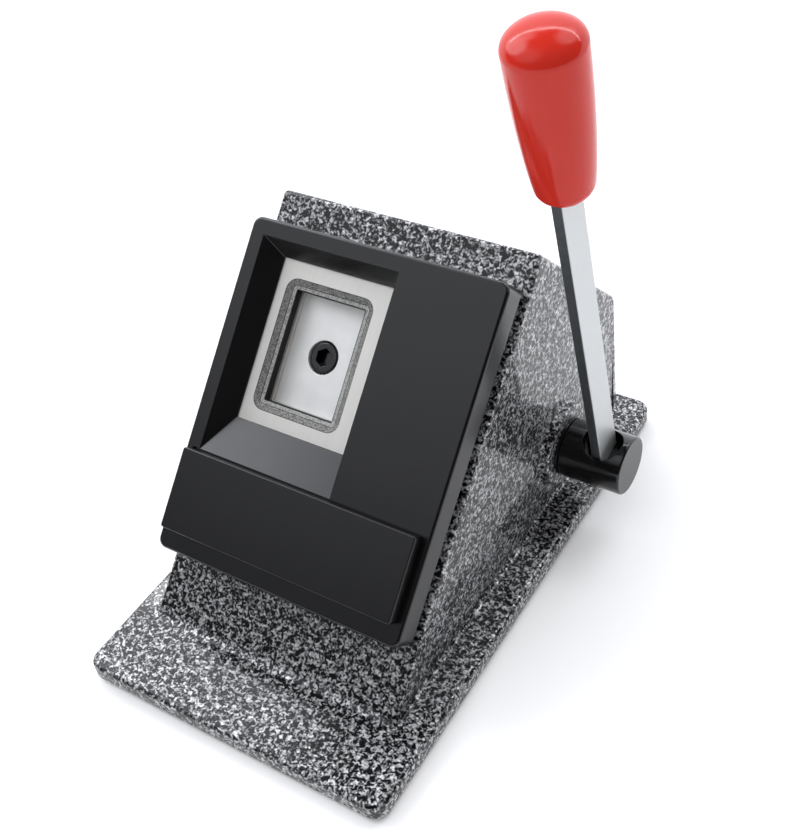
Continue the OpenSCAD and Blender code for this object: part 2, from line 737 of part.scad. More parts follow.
module punch() color("gainsboro") on_face(punch_x, punch_s, ram_front) difference() {
  len = -punch_set - ram_front;
  linear_extrude(len) square([photo_w, photo_l] - [2, 2] * punch_gap, center = true);
  translate([0, 0, -past]) cylinder(d = m6_d + 2 * screw_gap, h = len + 2 * past);
  translate([0, 0, len - m6_head_h - head_sink])
    cylinder(d = m6_head_d + 2 * head_room, h = m6_head_h + head_sink + past);
}

module punch_screw() color("#222222") on_face(punch_x, punch_s, 0) {
  head_top = -punch_set - head_sink;
  shank_low = ram_front - m6_grip;
  difference() {
    translate([0, 0, head_top - m6_head_h]) cylinder(d = m6_head_d, h = m6_head_h);
    translate([0, 0, head_top - m6_key_deep])
      cylinder(d = m6_key / cos(30), h = m6_key_deep + past, $fn = 6);
  }
  translate([0, 0, shank_low]) cylinder(d = m6_d, h = head_top - m6_key_deep - past - shank_low);
}

body_casting();
bottom_plate();
bottom_plate_screws();
base_mat();
front_cover();
cover_screws();
trim_bar();
die_plate();
die_screws();
upper_spacer();
lower_spacer();
guide_plate();
guide_plate_screws();
guide_posts();
return_springs();
shaft_bush_right();
shaft_bush_left();
stop_pins();
lever_shaft();
lever_bar();
lever_grip();
lever_set_screw();
thrust_washer();
shaft_collar();
collar_set_screw();
cam();
cam_set_screw();
ram_block();
ram_bushes();
wear_pad();
punch();
punch_screw();
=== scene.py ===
import json
import math

import bmesh
import bpy
from mathutils import Matrix, Vector


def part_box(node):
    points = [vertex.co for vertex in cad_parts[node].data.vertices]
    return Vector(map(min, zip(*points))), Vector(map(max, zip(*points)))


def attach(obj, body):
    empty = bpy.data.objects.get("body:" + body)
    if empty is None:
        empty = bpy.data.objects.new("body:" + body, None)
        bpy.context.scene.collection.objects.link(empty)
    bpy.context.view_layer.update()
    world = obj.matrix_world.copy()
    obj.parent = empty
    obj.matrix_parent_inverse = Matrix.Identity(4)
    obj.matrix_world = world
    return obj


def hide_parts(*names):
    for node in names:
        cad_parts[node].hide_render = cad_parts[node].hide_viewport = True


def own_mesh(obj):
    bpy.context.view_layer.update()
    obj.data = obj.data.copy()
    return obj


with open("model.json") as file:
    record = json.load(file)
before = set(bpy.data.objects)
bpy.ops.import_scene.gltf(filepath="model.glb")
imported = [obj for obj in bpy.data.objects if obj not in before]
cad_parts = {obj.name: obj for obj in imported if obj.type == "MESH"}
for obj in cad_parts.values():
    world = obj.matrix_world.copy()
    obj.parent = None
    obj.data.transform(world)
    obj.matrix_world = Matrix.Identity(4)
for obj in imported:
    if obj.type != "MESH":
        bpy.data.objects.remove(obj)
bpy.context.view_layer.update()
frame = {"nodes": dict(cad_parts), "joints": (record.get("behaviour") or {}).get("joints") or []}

# Camera
# It stands high at the front right of the cutter, as a photographer leans over a desk,
# and is turned a little about its own line of sight.
mm = 0.001
camera_place = (181.04 * mm, -216.27 * mm, 312.76 * mm)
camera_turn = (47.111, 6.550, 31.959)
# The longer side of the picture, its height in pixels, takes the width of the sensor.
sensor = 36
frame_height = 836
focal_pixels = 1232.6

camera = bpy.data.objects.new("camera", bpy.data.cameras.new("camera"))
bpy.context.scene.collection.objects.link(camera)
camera.location = camera_place
camera.rotation_euler = [math.radians(angle) for angle in camera_turn]
camera.data.sensor_width = sensor
camera.data.lens = sensor * focal_pixels / frame_height
camera.data.clip_start = 10 * mm
bpy.context.scene.camera = camera


# Desk and studio light
# A pale desk top under a ceiling light, a long tube behind it, and a dark room with a few soft
# patches of light, so that upright black plastic stays black.
def add_node(tree, kind, inputs=None, **settings):
    """Adds a node. Settings are its own properties, inputs are values or sockets to link from."""
    node = tree.nodes.new("ShaderNode" + kind)
    for name, value in settings.items():
        setattr(node, name, value)
    for name, value in (inputs or {}).items():
        if isinstance(value, bpy.types.NodeSocket):
            tree.links.new(value, node.inputs[name])
        else:
            node.inputs[name].default_value = value
    return node


def colour(code):
    """Turns an sRGB hex code into linear red, green, blue and a full alpha."""
    parts = [int(code[start:start + 2], 16) / 255 for start in (1, 3, 5)]
    return [part / 12.92 if part <= 0.04045 else ((part + 0.055) / 1.055) ** 2.4 for part in parts] + [1]


def new_finish(name):
    """Starts a material: gives it, its node tree and the socket of the piece's own coordinates."""
    material = bpy.data.materials.new(name)
    material.use_nodes = True
    material.node_tree.nodes.clear()
    return material, material.node_tree, add_node(material.node_tree, "TexCoord").outputs["Object"]


def shade(tree, inputs):
    """Ends a material with its one shader."""
    shader = add_node(tree, "BsdfPrincipled", inputs)
    add_node(tree, "OutputMaterial", {"Surface": shader.outputs["BSDF"]})


desk_size = 6000 * mm
cloud_size = 250 * mm
bpy.ops.object.select_all(action="DESELECT")
bpy.ops.mesh.primitive_plane_add(size=desk_size)
desk = bpy.context.active_object
desk.name = "desk_top"
# White acrylic of a light table: matt, lit a little from below, with a cloudiness too faint
# to see as a pattern.
acrylic, tree, place = new_finish("white_acrylic")
cloud = add_node(tree, "TexNoise", {"Vector": place, "Scale": 1 / cloud_size})
acrylic_white = add_node(
    tree, "MixRGB", {"Fac": cloud.outputs["Fac"], "Color1": colour("#f2f2f2"), "Color2": colour("#f6f6f6")}
)
shade(
    tree,
    {
        "Base Color": acrylic_white.outputs["Color"],
        "Roughness": 0.7,
        "Specular IOR Level": 0.2,
        "Emission Color": colour("#ffffff"),
        "Emission Strength": 0.1,
    },
)
desk.data.materials.append(acrylic)

# Each light: its name, place, width and height, power, and whether gloss mirrors it.
# Places and sizes are in metres.
lights = (
    ("tube_light", (-0.202, 0.724, 1.109), (2.4, 0.06), 5.4, True),
    ("ceiling_fill", (0.3, -0.7, 2.0), (2.4, 2.4), 21.5, False),
)
for name, spot, size, power, mirrored in lights:
    light_data = bpy.data.lights.new(name, "AREA")
    light_data.shape = "RECTANGLE"
    light_data.size, light_data.size_y = size
    light_data.energy = power
    light = bpy.data.objects.new(name, light_data)
    bpy.context.scene.collection.objects.link(light)
    light.location = spot
    light.rotation_euler = Vector(spot).to_track_quat("Z", "Y").to_euler()
    light.visible_glossy = mirrored

sky = bpy.data.worlds.new("studio_sky")
sky.use_nodes = True
bpy.context.scene.world = sky
tree = sky.node_tree
tree.nodes.clear()
ray = add_node(tree, "TexCoord").outputs["Generated"]
dark_room = 0.08
pale_room = 1.0
# Each patch of light in the room: its direction, the cosines at its rim and where it is full,
# and its strength. The last is the white wall behind, below the tube.
patches = (
    ((-0.449, -0.419, 0.789), 0.83, 1.0, 1.27),
    ((-0.750, 0.020, 0.661), 0.918, 0.97, 4.8),
    ((-0.515, 0.335, 0.789), 0.990, 0.9995, 2.8),
    ((0.150, 0.520, 0.841), 0.93, 0.985, 2.9),
    ((-0.262, 0.719, -0.644), 0.0, 0.05, 1.9),
)
room = dark_room
for direction, rim, full, power in patches:
    toward = add_node(tree, "VectorMath", {0: ray, 1: direction}, operation="DOT_PRODUCT")
    patch = add_node(
        tree,
        "MapRange",
        {"Value": toward.outputs["Value"], "From Min": rim, "From Max": full, "To Max": power},
        interpolation_type="SMOOTHSTEP",
    )
    room = add_node(tree, "Math", {0: room, 1: patch.outputs["Result"]}, operation="ADD").outputs["Value"]
# What the camera itself sees of the room is pale.
straight = add_node(tree, "LightPath").outputs["Is Camera Ray"]
strength = add_node(tree, "Mix", {"Factor": straight, "A": room, "B": pale_room}, data_type="FLOAT")
glow = add_node(tree, "Background", {"Color": colour("#f7f9ff"), "Strength": strength.outputs["Result"]})
add_node(tree, "OutputWorld", {"Surface": glow.outputs["Background"]})
bpy.context.scene.view_settings.view_transform = "Standard"


# Housing
# One iron casting: base flange, hollow wedge with a sloping front and a roof square to it,
# and a round boss for the shaft. Cast edges are rounded and it is sprayed with vein enamel.
def add_block(name, low, high):
    """A block between two corners."""
    bpy.ops.object.select_all(action="DESELECT")
    middle = [(a + b) / 2 for a, b in zip(low, high)]
    size = [b - a for a, b in zip(low, high)]
    bpy.ops.mesh.primitive_cube_add(size=1, location=middle, scale=size)
    block = bpy.context.active_object
    block.name = name
    bpy.ops.object.transform_apply(location=True, rotation=True, scale=True)
    return block


def add_round(name, radius, start, end, sides=96):
    """A cylinder from one point to another."""
    bpy.ops.object.select_all(action="DESELECT")
    axis = Vector(end) - Vector(start)
    turn = axis.to_track_quat("Z", "Y").to_euler()
    middle = (Vector(start) + Vector(end)) / 2
    bpy.ops.mesh.primitive_cylinder_add(
        vertices=sides, radius=radius, depth=axis.length, location=middle, rotation=turn
    )
    rod = bpy.context.active_object
    rod.name = name
    bpy.ops.object.transform_apply(location=True, rotation=True, scale=True)
    return rod


def pick(piece):
    """Selects one piece alone and makes it the active one."""
    bpy.ops.object.select_all(action="DESELECT")
    piece.select_set(True)
    bpy.context.view_layer.objects.active = piece


def open_with(piece, kind, test):
    """Opens a piece in edit mode with only those of its EDGE or FACE parts selected that pass the test."""
    pick(piece)
    bpy.ops.object.mode_set(mode="EDIT")
    bpy.ops.mesh.select_mode(type=kind)
    bpy.ops.mesh.select_all(action="DESELECT")
    shape = bmesh.from_edit_mesh(piece.data)
    for part in shape.edges if kind == "EDGE" else shape.faces:
        part.select_set(test(part))
    bmesh.update_edit_mesh(piece.data)


def round_edges(piece, test, radius, steps=4):
    """Rounds the edges that pass the test."""
    open_with(piece, "EDGE", test)
    bpy.ops.mesh.bevel(offset=radius, segments=steps, affect="EDGES", clamp_overlap=False)
    bpy.ops.object.mode_set(mode="OBJECT")


def slice_off(piece, point, normal):
    """Cuts away what stands beyond a plane, and closes the cut."""
    open_with(piece, "FACE", lambda face: True)
    bpy.ops.mesh.bisect(plane_co=point, plane_no=normal, use_fill=True, clear_outer=True)
    bpy.ops.object.mode_set(mode="OBJECT")


def carve(piece, tool, operation="DIFFERENCE"):
    """Takes a tool's shape out of a piece, or joins it on with UNION."""
    boolean = piece.modifiers.new("carve", "BOOLEAN")
    boolean.operation = operation
    boolean.solver = "EXACT"
    boolean.material_mode = "TRANSFER"
    boolean.object = tool
    pick(piece)
    bpy.ops.object.modifier_apply(modifier=boolean.name)
    bpy.data.objects.remove(tool)


def smooth(piece, sharp=32):
    """Shades a piece smooth, apart from edges sharper than the angle, and keeps its flat faces flat."""
    pick(piece)
    bpy.ops.object.shade_smooth_by_angle(angle=math.radians(sharp))
    weights = piece.modifiers.new("weights", "WEIGHTED_NORMAL")
    weights.keep_sharp = True
    bpy.ops.object.modifier_apply(modifier=weights.name)


def paint(piece, *finishes):
    """Gives a piece these finishes and no others."""
    piece.data.materials.clear()
    for finish in finishes:
        piece.data.materials.append(finish)


aligned = 0.999
near = 0.01 * mm


def runs_along(edge, axis):
    """True for an edge that lies along an axis."""
    line = edge.verts[1].co - edge.verts[0].co
    return abs(line.normalized()[axis]) > aligned


def level_at(edge, axis, value):
    """True for an edge with both ends at one value along an axis."""
    return all(abs(vert.co[axis] - value) < near for vert in edge.verts)


joints = {joint["name"]: joint for joint in frame["joints"]}
face_out = Vector(joints["ram_slide"]["axis"])
slope = math.atan2(-face_out.y, face_out.z)
face_up = Vector((0, math.cos(slope), math.sin(slope)))
shaft_line = Vector(joints["lever_hinge"]["pos_m"])

cast_low, cast_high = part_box("body_casting")
base_thick = 6 * mm
base_corner = 5 * mm
base_edge = 1.5 * mm
base_foot_edge = 0.5 * mm
front_ledge = 25.5 * mm
back_ledge = 7.4 * mm
left_ledge = 7.9 * mm
right_ledge = 11.1 * mm
face_length = 141.8 * mm
cast_edge = 1.5 * mm
cast_fillet = 1.6 * mm
front_wall = 7 * mm
side_wall = 5 * mm
base_top = cast_low[2] + base_thick
body_left = cast_low[0] + left_ledge
body_right = cast_high[0] - right_ledge
body_back = cast_high[1] - back_ledge
foot = Vector((0, cast_low[1] + front_ledge, base_top))
ridge = foot + face_length * face_up
on_slope = Matrix.Translation(foot) @ Matrix.Rotation(slope, 4, "X")


def settle(piece, place_matrix):
    """Sets a piece modelled about the origin into its place."""
    piece.matrix_world = place_matrix
    pick(piece)
    bpy.ops.object.transform_apply(location=True, rotation=True, scale=True)


def box_in(node, place_matrix):
    """The corners of a CAD node in the axes of a place."""
    inverse = place_matrix.inverted()
    points = [inverse @ vert.co for vert in frame["nodes"][node].data.vertices]
    low = Vector([min(point[axis] for point in points) for axis in range(3)])
    high = Vector([max(point[axis] for point in points) for axis in range(3)])
    return low, high


def wedge(name, front_in, side_in, bottom):
    """The housing's wedge, drawn in by the thickness of its walls."""
    piece = add_block(
        name,
        (body_left + side_in, cast_low[1], bottom),
        (body_right - side_in, body_back - side_in, cast_high[2] + base_thick),
    )
    slice_off(piece, foot - front_in * face_out, face_out)
    slice_off(piece, ridge - side_in * face_up, face_up)
    return piece


housing = add_block("housing_casting", cast_low, (cast_high[0], cast_high[1], base_top))
round_edges(housing, lambda edge: runs_along(edge, 2), base_corner, steps=8)
round_edges(housing, lambda edge: level_at(edge, 2, base_top), base_edge)
round_edges(housing, lambda edge: level_at(edge, 2, cast_low[2]), base_foot_edge, steps=2)

buried = cast_low[2] + base_thick / 2
body = wedge("wedge", 0, 0, buried)
round_edges(body, lambda edge: not level_at(edge, 2, buried), cast_edge)
carve(housing, body, "UNION")
round_edges(housing, lambda edge: level_at(edge, 2, base_top) and not edge.is_convex, cast_fillet)

boss_radius = 14 * mm
boss_out = 3 * mm
boss_edge = 0.8 * mm
boss_fillet = 0.8 * mm
boss_face = body_right + boss_out
boss = add_round(
    "boss",
    boss_radius,
    (body_right - side_wall / 2, shaft_line.y, shaft_line.z),
    (boss_face, shaft_line.y, shaft_line.z),
)
round_edges(boss, lambda edge: level_at(edge, 0, boss_face), boss_edge)
carve(housing, boss, "UNION")
round_edges(
    housing,
    lambda edge: level_at(edge, 0, body_right) and not edge.is_convex,
    boss_fillet,
    steps=3,
)

# The inside: cavity, recess for the bottom plate, bearing bosses and bores, way of the punch.
carve(housing, wedge("cavity", front_wall, side_wall, cast_low[2] - base_thick))
plate_low, plate_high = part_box("bottom_plate")
plate_room = 0.2 * mm
recess = add_block(
    "recess",
    (plate_low[0] - plate_room, plate_low[1] - plate_room, cast_low[2] - base_thick),
    (plate_high[0] + plate_room, plate_high[1] + plate_room, plate_high[2]),
)
carve(housing, recess)
inner_boss_radius = 12 * mm
for bush in ("shaft_bush_right", "shaft_bush_left"):
    bush_low, bush_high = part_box(bush)
    inner_boss = add_round(
        "inner_boss",
        inner_boss_radius,
        (max(bush_low[0], body_left + side_wall / 2), shaft_line.y, shaft_line.z),
        (min(bush_high[0], body_right - side_wall / 2), shaft_line.y, shaft_line.z),
    )
    carve(housing, inner_boss, "UNION")
bore_radius = 8 * mm
bore = add_round(
    "bore",
    bore_radius,
    (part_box("shaft_bush_left")[0][0], shaft_line.y, shaft_line.z),
    (boss_face + boss_out, shaft_line.y, shaft_line.z),
)
carve(housing, bore)
past = 1 * mm
for seat, room in (("guide_plate", 0.1 * mm), ("punch", 0.5 * mm)):
    seat_low, seat_high = box_in(seat, on_slope)
    way = add_block(
        "way",
        (seat_low[0] - room, seat_low[1] - room, seat_low[2]),
        (seat_high[0] + room, seat_high[1] + room, past),
    )
    settle(way, on_slope)
    carve(housing, way)
smooth(housing)

# Vein enamel: black lacquer in which silver powder gathers into crooked spots and veins
# about a millimetre wide, with smaller flecks between them, under a hard glossy top.
vein_pitch = 1.2 * mm
fleck_pitch = 0.62 * mm
orange_peel = 4 * mm
enamel, tree, place = new_finish("vein_enamel")
veins = add_node(
    tree,
    "TexNoise",
    {"Vector": place, "Scale": 1 / vein_pitch, "Detail": 0.3, "Roughness": 0.5, "Distortion": 0.8},
)
flecks = add_node(tree, "TexNoise", {"Vector": place, "Scale": 1 / fleck_pitch, "Detail": 0.5})
blend = add_node(
    tree, "Mix", {"Factor": 0.3, "A": veins.outputs["Fac"], "B": flecks.outputs["Fac"]}, data_type="FLOAT"
)
silver_share = add_node(
    tree,
    "MapRange",
    {"Value": blend.outputs["Result"], "From Min": 0.42, "From Max": 0.77},
    interpolation_type="SMOOTHSTEP",
)
silver_tone = add_node(
    tree,
    "MixRGB",
    {"Fac": flecks.outputs["Fac"], "Color1": colour("#a4a5a7"), "Color2": colour("#f0f1f2")},
)
enamel_colour = add_node(
    tree,
    "MixRGB",
    {
        "Fac": silver_share.outputs["Result"],
        "Color1": colour("#08080a"),
        "Color2": silver_tone.outputs["Color"],
    },
)
enamel_rough = add_node(
    tree, "MapRange", {"Value": silver_share.outputs["Result"], "To Min": 0.3, "To Max": 0.36}
)
flake_metal = add_node(tree, "MapRange", {"Value": silver_share.outputs["Result"], "To Max": 0.55})
waves = add_node(tree, "TexNoise", {"Vector": place, "Scale": 1 / orange_peel, "Detail": 1})
skin = add_node(
    tree, "Bump", {"Height": waves.outputs["Fac"], "Strength": 0.12, "Distance": 0.4 * mm}
)
shade(
    tree,
    {
        "Base Color": enamel_colour.outputs["Color"],
        "Metallic": flake_metal.outputs["Result"],
        "Roughness": enamel_rough.outputs["Result"],
        "Specular IOR Level": 0.05,
        "Coat Weight": 0.65,
        "Coat Roughness": 0.08,
        "Normal": skin.outputs["Normal"],
    },
)
paint(housing, enamel)
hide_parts("body_casting")
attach(housing, "housing")


# Bearings, guides and stops
# Sintered bronze bushes pressed into the side walls and the ram, and ground steel: the pins that
# end the lever's travel, the posts and plate that guide ram and punch, spacers and a wear pad.
def dress(material, *nodes):
    """Gives CAD nodes a finish."""
    for node in nodes:
        frame["nodes"][node].material_slots[0].material = material


# Sintered bronze: brown-yellow, matt, with pores that hold oil.
pore_pitch = 0.5 * mm
bronze, tree, place = new_finish("sintered_bronze")
pores = add_node(tree, "TexNoise", {"Vector": place, "Scale": 1 / pore_pitch, "Detail": 2})
bronze_colour = add_node(
    tree, "MixRGB", {"Fac": pores.outputs["Fac"], "Color1": colour("#7d5a2c"), "Color2": colour("#b98d4f")}
)
shade(tree, {"Base Color": bronze_colour.outputs["Color"], "Metallic": 1, "Roughness": 0.45})
dress(bronze, "shaft_bush_right", "shaft_bush_left", "ram_bushes")

# Ground steel: grey and bright, with the faint crossing lines that a grinding wheel leaves.
grind_pitch = 0.8 * mm
grind_stretch = 12
ground, tree, place = new_finish("ground_steel")
grain_place = add_node(
    tree, "Mapping", {"Vector": place, "Scale": (1, 1 / grind_stretch, 1 / grind_stretch)}
)
grind = add_node(
    tree, "TexNoise", {"Vector": grain_place.outputs["Vector"], "Scale": 1 / grind_pitch, "Detail": 3}
)
ground_colour = add_node(
    tree, "MixRGB", {"Fac": grind.outputs["Fac"], "Color1": colour("#d2d1cc"), "Color2": colour("#dcdbd7")}
)
ground_rough = add_node(tree, "MapRange", {"Value": grind.outputs["Fac"], "To Min": 0.42, "To Max": 0.56})
shade(
    tree,
    {
        "Base Color": ground_colour.outputs["Color"],
        "Metallic": 0.5,
        "Roughness": ground_rough.outputs["Result"],
    },
)
dress(ground, "stop_pins", "guide_posts", "guide_plate", "upper_spacer", "lower_spacer", "wear_pad")


# Ram and springs
# A milled block slides on two posts; two coil springs of oil-tempered wire push it back.
spring_low, spring_high = box_in("return_springs", on_slope)
spring_long = spring_high.z - spring_low.z
spring_wire = 1.2 * mm
spring_turns = 6
wire_sides = 12
turn_steps = 40
coil_radius = (spring_high.x - spring_low.x - spring_wire) / 2
coil_x = (spring_low.x + spring_high.x) / 2
coil_rise = spring_long - spring_wire
bpy.ops.object.select_all(action="DESELECT")
bpy.ops.mesh.primitive_circle_add(
    vertices=wire_sides,
    radius=spring_wire / 2,
    location=(coil_radius, 0, spring_low.z + spring_wire / 2),
    rotation=(math.pi / 2, 0, 0),
)
springs = bpy.context.active_object
springs.name = "return_spring_coils"
bpy.ops.object.transform_apply(location=True, rotation=True, scale=True)
winding = springs.modifiers.new("winding", "SCREW")
winding.screw_offset = coil_rise / spring_turns
winding.iterations = spring_turns
winding.steps = turn_steps
winding.render_steps = turn_steps
bpy.ops.object.modifier_apply(modifier=winding.name)
open_with(springs, "EDGE", lambda edge: edge.is_boundary)
bpy.ops.mesh.fill_holes(sides=wire_sides)
bpy.ops.mesh.select_all(action="SELECT")
bpy.ops.mesh.normals_make_consistent(inside=False)
bpy.ops.transform.translate(value=(coil_x, spring_low.y + spring_wire / 2 + coil_radius, 0))
bpy.ops.mesh.duplicate_move(
    TRANSFORM_OT_translate={
        "value": (0, spring_high.y - spring_low.y - 2 * coil_radius - spring_wire, 0)
    }
)
bpy.ops.object.mode_set(mode="OBJECT")
settle(springs, on_slope)
smooth(springs)
# Oil-tempered wire: dark, smooth, faintly streaked along its length.
streak_pitch = 1.5 * mm
wire, tree, place = new_finish("tempered_wire")
streaks = add_node(tree, "TexNoise", {"Vector": place, "Scale": 1 / streak_pitch, "Detail": 2})
wire_colour = add_node(
    tree,
    "MixRGB",
    {"Fac": streaks.outputs["Fac"], "Color1": colour("#4a4946"), "Color2": colour("#77756f")},
)
shade(tree, {"Base Color": wire_colour.outputs["Color"], "Metallic": 1, "Roughness": 0.35})
paint(springs, wire)
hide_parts("return_springs")
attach(springs, "housing")
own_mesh(springs)

# Milled steel: mid grey, with the soft bands of a face mill.
mill_pitch = 3 * mm
mill_stretch = 10
milled, tree, place = new_finish("milled_steel")
mill_place = add_node(
    tree, "Mapping", {"Vector": place, "Scale": (1, 1 / mill_stretch, 1 / mill_stretch)}
)
mill = add_node(
    tree, "TexNoise", {"Vector": mill_place.outputs["Vector"], "Scale": 1 / mill_pitch, "Detail": 2}
)
milled_colour = add_node(
    tree, "MixRGB", {"Fac": mill.outputs["Fac"], "Color1": colour("#85878a"), "Color2": colour("#b2b4b6")}
)
shade(tree, {"Base Color": milled_colour.outputs["Color"], "Metallic": 1, "Roughness": 0.4})
dress(milled, "ram_block", "cam", "shaft_collar")


# Punch
# A block of tool steel, ground all over, with a counterbore in its face for the screw that
# holds it to the ram. The rim of the counterbore is broken by a small round.
punch_low, punch_high = box_in("punch", on_slope)
screw_low, screw_high = box_in("punch_screw", on_slope)
punch_mid = (punch_low + punch_high) / 2
head_radius = (screw_high.x - screw_low.x) / 2
head_room = 0.3 * mm
counterbore_radius = head_radius + head_room
head_high = 6 * mm
rim_round = 0.3 * mm
punch_corner = 0.2 * mm
head_floor = screw_high.z - head_high
punch = add_block("punch_block", punch_low, punch_high)
round_edges(punch, lambda edge: runs_along(edge, 2), punch_corner, steps=3)
counterbore = add_round(
    "counterbore",
    counterbore_radius,
    (punch_mid.x, punch_mid.y, head_floor),
    (punch_mid.x, punch_mid.y, punch_high.z + past),
)
carve(punch, counterbore)

near_round = 0.05 * mm


def on_circle(edge, radius, middle):
    """True for an edge whose ends lie on a circle about a middle, seen square to the slope."""
    return all(abs((vert.co.xy - middle.xy).length - radius) < near_round for vert in edge.verts)


round_edges(
    punch,
    lambda edge: level_at(edge, 2, punch_high.z) and on_circle(edge, counterbore_radius, punch_mid),
    rim_round,
    steps=3,
)
shank_radius = 3 * mm
shank_way = add_round(
    "shank_way",
    shank_radius,
    (punch_mid.x, punch_mid.y, punch_low.z - past),
    (punch_mid.x, punch_mid.y, head_floor + past),
)
carve(punch, shank_way)
settle(punch, on_slope)
smooth(punch)
# Lapped steel: the punch's face, paler and more even than the ground plate round it.
lap_pitch = 7 * mm
lapped, tree, place = new_finish("lapped_steel")
lap = add_node(tree, "TexNoise", {"Vector": place, "Scale": 1 / lap_pitch, "Detail": 2})
lapped_colour = add_node(
    tree, "MixRGB", {"Fac": lap.outputs["Fac"], "Color1": colour("#dddedd"), "Color2": colour("#f0f1f0")}
)
shade(tree, {"Base Color": lapped_colour.outputs["Color"], "Metallic": 0.3, "Roughness": 0.45})
paint(punch, lapped)
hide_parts("punch")
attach(punch, "ram")


# Screw of the punch
# A socket screw of blackened steel that holds the punch to the ram. Its head has a rounded
# rim and a six-sided socket for the key.
key_across = 5 * mm
key_radius = key_across / 2 / math.cos(math.pi / 6)
key_deep = 3 * mm
head_round = 0.7 * mm
key_round = 0.25 * mm
punch_screw = add_round(
    "punch_socket_screw",
    head_radius,
    (punch_mid.x, punch_mid.y, head_floor),
    (punch_mid.x, punch_mid.y, screw_high.z),
)
round_edges(punch_screw, lambda edge: level_at(edge, 2, screw_high.z), head_round)
shank = add_round(
    "shank",
    shank_radius,
    (punch_mid.x, punch_mid.y, screw_low.z),
    (punch_mid.x, punch_mid.y, head_floor + past),
    sides=48,
)
carve(punch_screw, shank, "UNION")
key = add_round(
    "key",
    key_radius,
    (punch_mid.x, punch_mid.y, screw_high.z - key_deep),
    (punch_mid.x, punch_mid.y, screw_high.z + past),
    sides=6,
)
carve(punch_screw, key)


def at_key_mouth(edge):
    """True for the front edges of the six-sided socket."""
    inside = all((vert.co.xy - punch_mid.xy).length < key_radius + near_round for vert in edge.verts)
    return inside and level_at(edge, 2, screw_high.z)


round_edges(punch_screw, at_key_mouth, key_round, steps=2)
settle(punch_screw, on_slope)
smooth(punch_screw)

# Blackened steel: oxide over turned steel, deep black, oiled to a soft gloss.
oxide_pitch = 1.2 * mm
blackened, tree, place = new_finish("blackened_steel")
oxide = add_node(tree, "TexNoise", {"Vector": place, "Scale": 1 / oxide_pitch, "Detail": 3})
oxide_colour = add_node(
    tree, "MixRGB", {"Fac": oxide.outputs["Fac"], "Color1": colour("#070708"), "Color2": colour("#0c0c0d")}
)
oxide_rough = add_node(tree, "MapRange", {"Value": oxide.outputs["Fac"], "To Min": 0.1, "To Max": 0.2})
shade(tree, {"Base Color": oxide_colour.outputs["Color"], "Roughness": oxide_rough.outputs["Result"]})
paint(punch_screw, blackened)
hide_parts("punch_screw")
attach(punch_screw, "ram")
dress(blackened, "lever_set_screw", "cam_set_screw", "collar_set_screw", "thrust_washer")


# Shaft and hub
# The shaft is turned from one bar with a thick hub outside the wall. A round hole is bored
# into the hub towards the lever, and a slot in its floor holds the foot of the flat bar.
shaft_low, shaft_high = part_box("lever_shaft")
washer_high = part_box("thrust_washer")[1]
hub_left = washer_high[0]
hub_right = shaft_high[0]
hub_radius = (shaft_high[2] - shaft_low[2]) / 2
hub_sides = 120
shaft_radius = 6 * mm
lever_lean = math.radians(11.25)
hole_radius = 6.3 * mm
hole_floor = 2.5 * mm
hub_edge = 0.7 * mm
hole_edge = 0.3 * mm
along_lever = Matrix.Translation(shaft_line) @ Matrix.Rotation(lever_lean, 4, "X")
bar_low, bar_high = box_in("lever_bar", along_lever)
bar_x = (bar_low.x + bar_high.x) / 2
hub = add_round(
    "lever_hub",
    hub_radius,
    (hub_left, shaft_line.y, shaft_line.z),
    (hub_right, shaft_line.y, shaft_line.z),
    sides=hub_sides,
)
round_edges(
    hub,
    lambda edge: level_at(edge, 0, hub_right) or level_at(edge, 0, hub_left),
    hub_edge,
    steps=3,
)
shaft = add_round(
    "shaft",
    shaft_radius,
    (shaft_low[0], shaft_line.y, shaft_line.z),
    (hub_left + past, shaft_line.y, shaft_line.z),
)
carve(hub, shaft, "UNION")
hole = add_round("hole", hole_radius, (bar_x, 0, hole_floor), (bar_x, 0, hub_radius + past))
settle(hole, along_lever)
carve(hub, hole)


def on_hole_mouth(edge):
    """True for the edges where the hole breaks through the round of the hub."""
    inverse = along_lever.inverted()
    ends = [inverse @ vert.co for vert in edge.verts]
    on_wall = all(abs(Vector((end.x - bar_x, end.y)).length - hole_radius) < near_round for end in ends)
    on_hub = all(abs(Vector((end.y, end.z)).length - hub_radius) < near_round for end in ends)
    return on_wall and on_hub


round_edges(hub, on_hole_mouth, hole_edge, steps=3)
slot_room = 0.02 * mm
bar_slot = add_block(
    "bar_slot",
    (bar_low.x - slot_room, bar_low.y - slot_room, bar_low.z),
    (bar_high.x + slot_room, bar_high.y + slot_room, hole_floor + past),
)
settle(bar_slot, along_lever)
carve(hub, bar_slot)
smooth(hub)

# Faced steel: the end of the hub as the lathe left it, fine rings, a thin black oxide
# that has a grey sheen. At a scale of 1 the texture's rings lie a tenth of pi apart.
ring_pitch = 1.0 * mm
ring_step = math.pi / 10
faced, tree, place = new_finish("faced_steel")
ring_place = add_node(tree, "Mapping", {"Vector": place, "Location": (0, -shaft_line.y, -shaft_line.z)})
rings = add_node(
    tree,
    "TexWave",
    {"Vector": ring_place.outputs["Vector"], "Scale": ring_step / ring_pitch, "Distortion": 1},
    wave_type="RINGS",
    rings_direction="X",
)
faced_colour = add_node(
    tree, "MixRGB", {"Fac": rings.outputs["Fac"], "Color1": colour("#565857"), "Color2": colour("#5e605f")}
)
shade(tree, {"Base Color": faced_colour.outputs["Color"], "Metallic": 0.8, "Roughness": 0.42})
paint(hub, blackened, faced)
for face in hub.data.polygons:
    face.material_index = int(face.normal.x > aligned and face.center.x > hub_right - past)
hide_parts("lever_shaft")
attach(hub, "lever")


